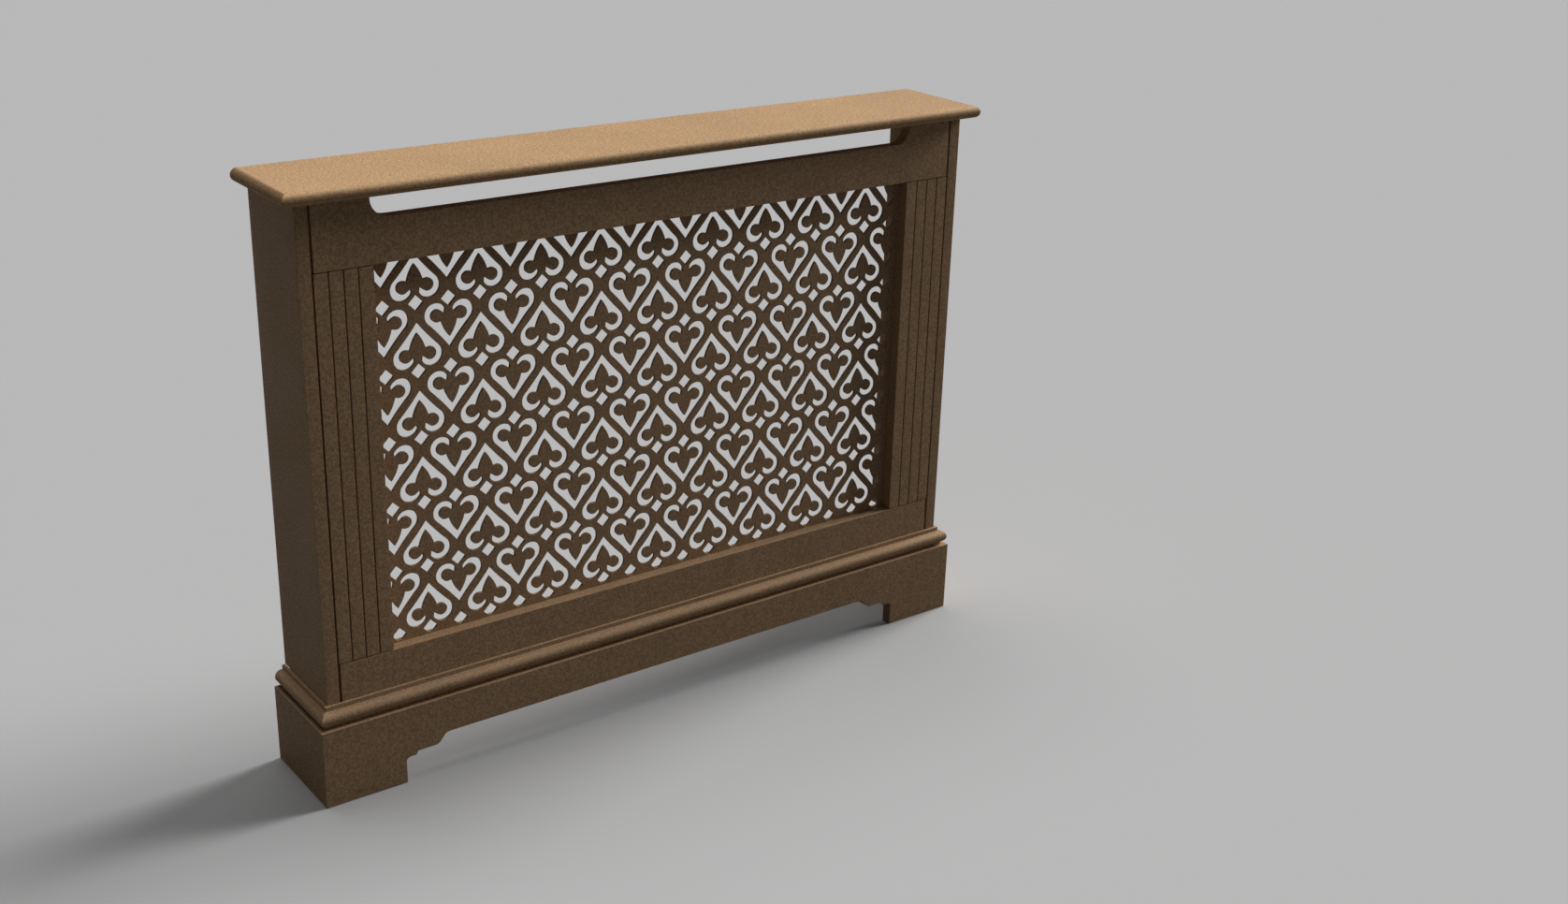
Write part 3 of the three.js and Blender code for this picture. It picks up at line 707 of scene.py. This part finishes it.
def lattice_holes():
    """Every hole of the lattice, clipped where the border cuts it."""
    limit_x = OPENING_HALF - GRILLE_SIDE_BORDER
    bottom = OPENING_BOTTOM + GRILLE_BORDER
    top = OPENING_TOP - GRILLE_BORDER
    foot = OPENING_BOTTOM + LATTICE_FOOT
    spade = motif()
    diamond = [(0, DIAMOND_HALF), (DIAMOND_HALF, 0), (0, -DIAMOND_HALF), (-DIAMOND_HALF, 0)]
    columns = math.ceil(2 * limit_x / LATTICE_PITCH)
    rows = math.ceil((top - bottom) / LATTICE_PITCH)
    holes = []
    for row in range(rows + 1):
        z = foot + row * LATTICE_PITCH
        for step in range(-columns, columns + 1):
            x = step * LATTICE_PITCH / 2
            holes.append([(x + u, z + v) for u, v in diamond])
            if step % 2 == 0:
                holes.append([(x + u, z + v) for u, v in spade])
            else:
                holes.append([(x - u, z + LATTICE_PITCH - v) for u, v in spade])
    border = ((0, limit_x, True), (0, -limit_x, False), (1, top, True), (1, bottom, False))
    for axis, limit, below in border:
        holes = [piece for hole in holes for piece in clipped(hole, axis, limit, below)]
    return holes


def counterclockwise(loop):
    """The outline, run so that its inside lies to the left."""
    area = sum(a[0] * b[1] - b[0] * a[1] for a, b in zip(loop, loop[1:] + loop[:1]))
    return loop if area > 0 else loop[::-1]


def widened(loop, distance):
    """A counterclockwise outline moved outwards by a distance, with mitred corners."""
    moved = []
    for i, point in enumerate(loop):
        before = Vector(point) - Vector(loop[i - 1])
        after = Vector(loop[(i + 1) % len(loop)]) - Vector(point)
        one = Vector((before.y, -before.x)).normalized()
        two = Vector((after.y, -after.x)).normalized()
        both = (one + two).normalized()
        reach = distance / max(both.dot(one), MITRE_LIMIT)
        moved.append((point[0] + both.x * reach, point[1] + both.y * reach))
    return moved


def distinct(loop):
    """The outline without points that lie on top of each other."""
    kept = []
    for point in loop:
        if not kept or math.dist(point, kept[-1]) > OUTLINE_STEP:
            kept.append(point)
    if math.dist(kept[0], kept[-1]) <= OUTLINE_STEP:
        kept.pop()
    return kept


def pierced_faces(outer, holes):
    """Triangles that fill an outline round its holes, as points and index triples."""
    loops = [counterclockwise(loop) for loop in [outer] + holes]
    points = [Vector(p) for loop in loops for p in loop]
    faces = []
    start = 0
    for loop in loops:
        faces.append(list(range(start, start + len(loop))))
        start += len(loop)
    found, _, triangles, _, _, origins = delaunay_2d_cdt(
        points, [], faces, INSIDE_ONLY, TRIANGLE_TOLERANCE
    )
    kept = [t for t, origin in zip(triangles, origins) if origin == [0]]
    return found, kept


def grille():
    """The pierced sheet: faces, a fine chamfer round every hole on both sides, and the walls."""
    low, high = GRILLE_LOW, GRILLE_HIGH
    outer = [(low.x, low.z), (high.x, low.z), (high.x, high.z), (low.x, high.z)]
    holes = [counterclockwise(loop) for loop in map(distinct, lattice_holes()) if len(loop) > 2]
    wide = [widened(loop, GRILLE_EASE) for loop in holes]
    bm = bmesh.new()
    found, triangles = pierced_faces(outer, wide)
    for y in (low.y, high.y):
        verts = [bm.verts.new((p.x, y, p.y)) for p in found]
        for triangle in triangles:
            bm.faces.new([verts[i] for i in triangle])
    edge = [[(x, y, z) for x, z in outer] for y in (low.y, high.y)]
    loft(bm, edge, closed=False)
    for hole, rim in zip(holes, wide):
        levels = (
            (rim, low.y),
            (hole, low.y + GRILLE_EASE),
            (hole, high.y - GRILLE_EASE),
            (rim, high.y),
        )
        loft(bm, [[(x, y, z) for x, z in loop] for loop, y in levels], closed=False)
    bmesh.ops.remove_doubles(bm, verts=bm.verts[:], dist=MERGE_DISTANCE)
    obj = placed_object("finished_grille_panel", bm)
    finish_piece(obj, "grille_panel", GRILLE_FINISH, axis=1)


# ---- Plinth and bead ---------------------------------------------------------------------------


def arch_half(end):
    """Right half of the plinth's front: foot, quarter round, step and ogee up to the arch."""
    foot = end - FOOT_WIDTH
    ledge = foot - FOOT_ROUND - FOOT_LEDGE
    ledge_z = FOOT_STRAIGHT + FOOT_ROUND
    cusp = ledge - FOOT_STEP / 2
    cusp_z = ledge_z + FOOT_STEP
    start = cusp - CUSP_LENGTH
    bend = start - OGEE_LENGTH / 2
    stop = start - OGEE_LENGTH
    top = ARCH_HEIGHT
    ogee = bezier((start, cusp_z), (bend, cusp_z), (bend, top), (stop, top), OGEE_STEPS)
    centre = (foot - FOOT_ROUND, FOOT_STRAIGHT)
    quarter = arc(centre, FOOT_ROUND, 0, math.pi / 2, FOOT_ROUND_STEPS)
    return [(foot, 0.0)] + quarter + [(ledge, ledge_z), (cusp, cusp_z)] + ogee


def front_plinth():
    """The ends are mitred, so its back is narrower than its face by one thickness each side."""
    low, high = PLINTH_LOW, PLINTH_HIGH
    thickness = high.y - low.y
    rings = []
    for y, end in ((low.y, high.x), (high.y, high.x - thickness)):
        half = [(end, high.z), (end, low.z)] + arch_half(high.x)
        rings.append([(x, y, z) for x, z in both_sides(half)])
    board("front_plinth", lofted(*rings), BOARD_FINISH, axis=1)


def side_runs(node, section, finish):
    """Runs a [out, z] section along a side, mitred at the front corner."""
    for side, sign in (("left", -1), ("right", 1)):
        low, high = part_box(f"{side}_{node}")
        face = min(abs(low.x), abs(high.x))
        reach = high.x - low.x
        rings = [
            [(sign * (face + out), low.y + reach - out, z) for out, z in section],
            [(sign * (face + out), high.y, z) for out, z in section],
        ]
        board(f"{side}_{node}", lofted(*rings), finish, axis=0)


def side_plinths():
    """Plain boards, mitred to the front one."""
    low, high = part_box("right_plinth")
    thickness = high.x - low.x
    section = [(0, low.z), (thickness, low.z), (thickness, high.z), (0, high.z)]
    side_runs("plinth", section, BOARD_FINISH)


def bead_section():
    """The bead as [out, z]: neck, three-quarter round, and a flat fillet on top."""
    projection = BEAD_HIGH.y - BEAD_LOW.y
    base = BEAD_LOW.z
    top = BEAD_HIGH.z
    middle = projection - BEAD_RADIUS
    end = math.pi - math.acos((middle - BEAD_FILLET) / BEAD_RADIUS)
    start = -math.acos((BEAD_NECK - middle) / BEAD_RADIUS)
    centre = (middle, (base + top) / 2 - BEAD_DROP)
    bead = arc(centre, BEAD_RADIUS, start, end, BEAD_STEPS)
    return [(0, base), (BEAD_NECK, base)] + bead + [(BEAD_FILLET, top), (0, top)]


def beads():
    """The bead on top of the plinth: one run along each side and one along the front."""
    section = bead_section()
    side_runs("bead", section, BOARD_FINISH)
    high = BEAD_HIGH
    reach = BEAD_HIGH.y - BEAD_LOW.y
    rings = [
        [(sign * (high.x - reach + out), high.y - out, z) for out, z in section]
        for sign in (-1, 1)
    ]
    board("front_bead", lofted(*rings), BOARD_FINISH, axis=1)


# ---- Inside: strips, battens, cleats and brackets ----------------------------------------------


def screw_nodes(*starts):
    """The screws whose names begin in one of these ways."""
    return [n for n in sorted(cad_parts) if "screw" in n and n.startswith(starts)]


def direction_of(node):
    """The way a screw points, from its head to its tip."""
    side = -1 if node.startswith("left") else 1
    if "side_screw" in node:
        return Vector((side, 0, 0))
    if "frame_screw" in node:
        return Vector((0, -1, 0))
    return Vector((0, 0, 1))


def head_of(node):
    """The middle of a screw's head, and the screw's length."""
    low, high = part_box(node)
    way = direction_of(node)
    middle = (low + high) / 2
    length = abs((high - low).dot(way))
    return middle - way * length / 2, length


def turned_rings(profile, cut_tone_and_shade):
    """Rings of a turned shape along +Z from its [radius, z] profile."""
    rings = []
    for radius, z in profile:
        turns = [2 * math.pi * i / cut_tone_and_shade for i in range(cut_tone_and_shade)]
        rings.append([(radius * math.cos(t), radius * math.sin(t), z) for t in turns])
    return rings


def pointed(way, at):
    """The matrix that sets a shape along +Z at a place, pointing a given way."""
    return Matrix.Translation(at) @ way.to_track_quat("Z", "Y").to_matrix().to_4x4()


def screw_cutter(node):
    """The countersunk hole that the screw sits in."""
    at, length = head_of(node)
    head = SCREW_HEAD_RADIUS + FASTENER_CLEARANCE
    shank = SCREW_RADIUS + FASTENER_CLEARANCE
    profile = [
        (head, -CUTTER_OVERSHOOT),
        (head, 0),
        (shank, SCREW_HEAD_HEIGHT),
        (shank, length + CUTTER_OVERSHOOT),
    ]
    bm = lofted(*turned_rings(profile, CUTTER_SIDES))
    bm.transform(pointed(direction_of(node), at))
    return placed_object("cutter", bm)


def timber(node, axis, screws=()):
    """A planed softwood length with its screw holes, its grain along the axis."""
    obj = placed_object("finished_" + node, slab(*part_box(node)))
    ease_edges(obj, TIMBER_EASE)
    for screw in screws:
        drilled(obj, screw_cutter(screw))
    finish_piece(obj, node, PINE[axis])


def inner_timber():
    """The strips round the grille, the corner battens and the shelf's cleats."""
    timber("grille_strip_bottom", 0)
    timber("grille_strip_top", 0)
    for side in ("left", "right"):
        timber("grille_strip_" + side, 2)
        batten = side + "_corner_batten"
        timber(batten, 2, screw_nodes(batten))
        cleat = side + "_shelf_cleat"
        timber(cleat, 1, screw_nodes(cleat))


def bracket_leaf(width, length):
    """One leg of a bracket as a flat outline from the bend, with rounded far corners."""
    r = BRACKET_CORNER
    half = width / 2
    corner = arc((half - r, length - r), r, 0, math.pi / 2, BRACKET_CORNER_STEPS)
    return both_sides([(half, 0.0)] + corner)


def bracket(side):
    """A bent strip of steel: one leg under the shelf and one down the wall."""
    node = side + "_wall_bracket"
    low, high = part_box(node)
    centre = (low.x + high.x) / 2
    width = high.x - low.x
    leg = high.z - low.z
    t = BRACKET_THICKNESS
    bend = BRACKET_BEND
    past = CUTTER_OVERSHOOT
    leaf = bracket_leaf(width, leg)
    level = [[(centre + u, high.y - v, z) for u, v in leaf] for z in (high.z - t, high.z)]
    upright = [[(centre + u, y, high.z - v) for u, v in leaf] for y in (high.y - t, high.y)]
    obj = placed_object("finished_" + node, lofted(*level))
    other = placed_object("leg", lofted(*upright))
    join = obj.modifiers.new("join", "BOOLEAN")
    join.operation = "UNION"
    join.solver = "EXACT"
    join.object = other
    bpy.context.view_layer.update()
    settle(obj)
    bpy.data.objects.remove(other)
    corner = [(high.y + past, high.z + past), (high.y - bend, high.z + past)]
    corner += arc((high.y - bend, high.z - bend), bend, math.pi / 2, 0, BRACKET_BEND_STEPS)
    corner += [(high.y + past, high.z - bend)]
    trim = lofted(*[[(x, y, z) for y, z in corner] for x in (low.x - past, high.x + past)])
    drilled(obj, placed_object("trim", trim))
    for screw in screw_nodes(node):
        drilled(obj, screw_cutter(screw))
    bore = [(WALL_HOLE_RADIUS, -4 * t), (WALL_HOLE_RADIUS, 4 * t)]
    hole = lofted(*turned_rings(bore, CUTTER_SIDES))
    hole.transform(pointed(Vector((0, 1, 0)), Vector((centre, high.y, low.z + WALL_HOLE_RISE))))
    drilled(obj, placed_object("hole", hole))
    ease_edges(obj, BRACKET_EASE)
    finish_piece(obj, node, ZINC)


# ---- Fasteners ---------------------------------------------------------------------------------


def cross_outline(reach, width):
    """A cross with four equal arms."""
    quarter = [(reach, -width / 2), (reach, width / 2), (width / 2, width / 2)]
    points = []
    for turn in range(4):
        c = (1, 0, -1, 0)[turn]
        s = (0, 1, 0, -1)[turn]
        points += [(c * x - s * y, s * x + c * y) for x, y in quarter]
    return points


def thread_radius(turn, z, length, plain):
    """Radius of the shank: plain under the head, then a thread that tapers to the point."""
    if z < plain:
        return SCREW_PLAIN_RADIUS
    taper = min(1.0, max(SCREW_TIP, (length - z) / SCREW_POINT))
    phase = (z / SCREW_PITCH - turn / (2 * math.pi)) % 1.0
    crest = max(0.0, 1.0 - abs(phase - 0.5) / THREAD_FLANK)
    return (SCREW_CORE + (SCREW_RADIUS - SCREW_CORE) * crest) * taper


def screw_body(length):
    """A countersunk wood screw along +Z, its head's face at z = 0, with a cross recess."""
    bm = bmesh.new()
    rim = [(x, y) for x, y, _ in turned_rings([(SCREW_HEAD_RADIUS, 0)], SCREW_SIDES)[0]]
    cross = cross_outline(RECESS_REACH, RECESS_WIDTH)
    found, triangles = pierced_faces(rim, [cross])
    top = [bm.verts.new((p.x, p.y, 0)) for p in found]
    for triangle in triangles:
        bm.faces.new([top[i] for i in triangle])
    base = cross_outline(RECESS_FLOOR_REACH, RECESS_FLOOR_WIDTH)
    walls = [[(x, y, 0) for x, y in cross], [(x, y, RECESS_DEPTH) for x, y in base]]
    grid = loft(bm, walls, closed=False)
    bm.faces.new(grid[-1])
    plain = min(SCREW_PLAIN, length * SCREW_PLAIN_SHARE)
    rings = [[(x, y, z) for x, y in rim] for z in (0, SCREW_RIM)]
    shank_length = length - SCREW_HEAD_HEIGHT
    steps = math.ceil(shank_length / (SCREW_PITCH / RINGS_PER_TURN))
    for i in range(steps + 1):
        z = SCREW_HEAD_HEIGHT + shank_length * i / steps
        ring = []
        for k in range(SCREW_SIDES):
            turn = 2 * math.pi * k / SCREW_SIDES
            r = thread_radius(turn, z, length, plain)
            ring.append((r * math.cos(turn), r * math.sin(turn), z))
        rings.append(ring)
    shank = loft(bm, rings, closed=False)
    bm.faces.new(shank[-1])
    bmesh.ops.remove_doubles(bm, verts=bm.verts[:], dist=MERGE_DISTANCE)
    return bm


def screws():
    """Every screw in its place, its head's face flush with what it holds."""
    for node in screw_nodes("left", "right"):
        at, length = head_of(node)
        bm = screw_body(length)
        bm.transform(pointed(direction_of(node), at))
        obj = placed_object("finished_" + node, bm)
        finish_piece(obj, node, SCREW_ZINC)


def dowels():
    """Fluted beech dowels with chamfered ends."""
    for node in [n for n in sorted(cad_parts) if "_dowel_" in n]:
        low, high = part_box(node)
        centre = (low + high) / 2
        cut_tone_and_shade = DOWEL_FLUTES * POINTS_PER_FLUTE
        rings = []
        for z, share in (
            (low.z, DOWEL_END),
            (low.z + DOWEL_CHAMFER, 1.0),
            (high.z - DOWEL_CHAMFER, 1.0),
            (high.z, DOWEL_END),
        ):
            ring = []
            for k in range(cut_tone_and_shade):
                turn = 2 * math.pi * k / cut_tone_and_shade
                flute = DOWEL_FLUTE_DEPTH if k % POINTS_PER_FLUTE == 0 else 0.0
                r = (DOWEL_RADIUS - flute) * share
                ring.append((centre.x + r * math.cos(turn), centre.y + r * math.sin(turn), z))
            rings.append(ring)
        obj = placed_object("finished_" + node, lofted(*rings))
        finish_piece(obj, node, BEECH)


# ---- Studio ------------------------------------------------------------------------------------

FLOOR_SIZE = 60.0
FLOOR_DROP = 0.2 * MM
BACKGROUND = srgb(185, 185, 185)
FLOOR_SEEN = srgb(177, 177, 177)
FLOOR_BOUNCE = srgb(86, 86, 86)  # the floor as the cabinet sees it
SKY_LOW = 0.05  # light from all round
SOFT_LAMPS = (  # direction, cosines between which the lamp fades in, and strength
    ((0.87, 0.0, 0.50), (0.94, 0.985), 21.2),  # at the right
    ((0.0, 0.28, 0.96), (0.93, 0.98), 3.2),  # above and a little behind
)
IMAGE_WIDTH = 1676
FOCAL_LENGTH_PIXELS = 1972.57
CAMERA_PLACE = (-1380.6 * MM, -2142.0 * MM, 1395.4 * MM)
CAMERA_AZIMUTH = math.radians(-37.531)
CAMERA_ELEVATION = math.radians(21.750)
CAMERA_ROLL = math.radians(1.834)
SENSOR_WIDTH = 36.0
CLIP_RANGE = (0.05, 200.0)


def seen_directly(tree):
    """1 for rays from the camera and for those that a shiny or clear surface sends on."""
    path = tree.nodes.new("ShaderNodeLightPath")
    total = path.outputs["Is Camera Ray"]
    for kind in ("Is Glossy Ray", "Is Transmission Ray"):
        larger = tree.nodes.new("ShaderNodeMath")
        larger.operation = "MAXIMUM"
        tree.links.new(total, larger.inputs[0])
        tree.links.new(path.outputs[kind], larger.inputs[1])
        total = larger.outputs[0]
    return total


def floor():
    """A plain pale floor. It throws less light up at the cabinet than its own colour would."""
    bm = bmesh.new()
    bmesh.ops.create_grid(bm, x_segments=1, y_segments=1, size=FLOOR_SIZE / 2)
    bmesh.ops.translate(bm, verts=bm.verts[:], vec=(0, 0, -FLOOR_DROP))
    obj = placed_object("studio_floor", bm)
    n = Nodes("studio_floor")
    colour = n.mix(seen_directly(n.tree), FLOOR_BOUNCE, FLOOR_SEEN)
    n.link(colour, n.shader.inputs["Base Color"])
    n.shader.inputs["Roughness"].default_value = 0.9
    n.shader.inputs["Specular IOR Level"].default_value = 0.0
    obj.data.materials.append(n.material)


def sky():
    """Two wide soft lamps in a dim sky, without edges. The camera sees plain grey instead."""
    world = bpy.data.worlds.new("studio_sky")
    bpy.context.scene.world = world
    world.use_nodes = True
    tree = world.node_tree
    tree.nodes.clear()
    where = tree.nodes.new("ShaderNodeTexCoord")
    light = tree.nodes.new("ShaderNodeBackground")
    light.inputs["Color"].default_value = (1, 1, 1, 1)
    strength = None
    for direction, edge, level in SOFT_LAMPS:
        facing = tree.nodes.new("ShaderNodeVectorMath")
        facing.operation = "DOT_PRODUCT"
        facing.inputs[1].default_value = Vector(direction).normalized()
        tree.links.new(where.outputs["Generated"], facing.inputs[0])
        glow = tree.nodes.new("ShaderNodeMapRange")
        glow.interpolation_type = "SMOOTHSTEP"
        glow.inputs["From Min"].default_value = edge[0]
        glow.inputs["From Max"].default_value = edge[1]
        glow.inputs["To Max"].default_value = level
        tree.links.new(facing.outputs["Value"], glow.inputs["Value"])
        total = tree.nodes.new("ShaderNodeMath")
        total.inputs[1].default_value = SKY_LOW
        tree.links.new(glow.outputs["Result"], total.inputs[0])
        if strength is not None:
            tree.links.new(strength, total.inputs[1])
        strength = total.outputs[0]
    tree.links.new(strength, light.inputs["Strength"])
    seen = tree.nodes.new("ShaderNodeBackground")
    seen.inputs["Color"].default_value = BACKGROUND
    seen.inputs["Strength"].default_value = 1.0
    mix = tree.nodes.new("ShaderNodeMixShader")
    tree.links.new(seen_directly(tree), mix.inputs["Fac"])
    tree.links.new(light.outputs["Background"], mix.inputs[1])
    tree.links.new(seen.outputs["Background"], mix.inputs[2])
    output = tree.nodes.new("ShaderNodeOutputWorld")
    tree.links.new(mix.outputs["Shader"], output.inputs["Surface"])


def camera():
    """The photograph's own view, from its fitted angles."""
    azimuth, elevation, roll = CAMERA_AZIMUTH, CAMERA_ELEVATION, CAMERA_ROLL
    back = Vector((
        math.sin(azimuth) * math.cos(elevation),
        -math.cos(azimuth) * math.cos(elevation),
        math.sin(elevation),
    ))
    right = Vector((math.cos(azimuth), math.sin(azimuth), 0))
    up = back.cross(right)
    tilted_right = right * math.cos(roll) + up * math.sin(roll)
    tilted_up = up * math.cos(roll) - right * math.sin(roll)
    data = bpy.data.cameras.new("photograph_view")
    data.sensor_width = SENSOR_WIDTH
    data.lens = SENSOR_WIDTH * FOCAL_LENGTH_PIXELS / IMAGE_WIDTH
    data.clip_start, data.clip_end = CLIP_RANGE
    obj = bpy.data.objects.new("photograph_view", data)
    turn = Matrix((tilted_right, tilted_up, back)).transposed().to_4x4()
    obj.matrix_world = Matrix.Translation(CAMERA_PLACE) @ turn
    bpy.context.scene.collection.objects.link(obj)
    bpy.context.scene.camera = obj


def main():
    """Builds the studio and then every piece."""
    camera()
    sky()
    floor()
    shelf()
    side_panels()
    top_rail()
    bottom_rail()
    stiles()
    grille()
    front_plinth()
    side_plinths()
    beads()
    inner_timber()
    for side in ("left", "right"):
        bracket(side)
    screws()
    dowels()
    bpy.context.scene.view_settings.view_transform = "Standard"


main()
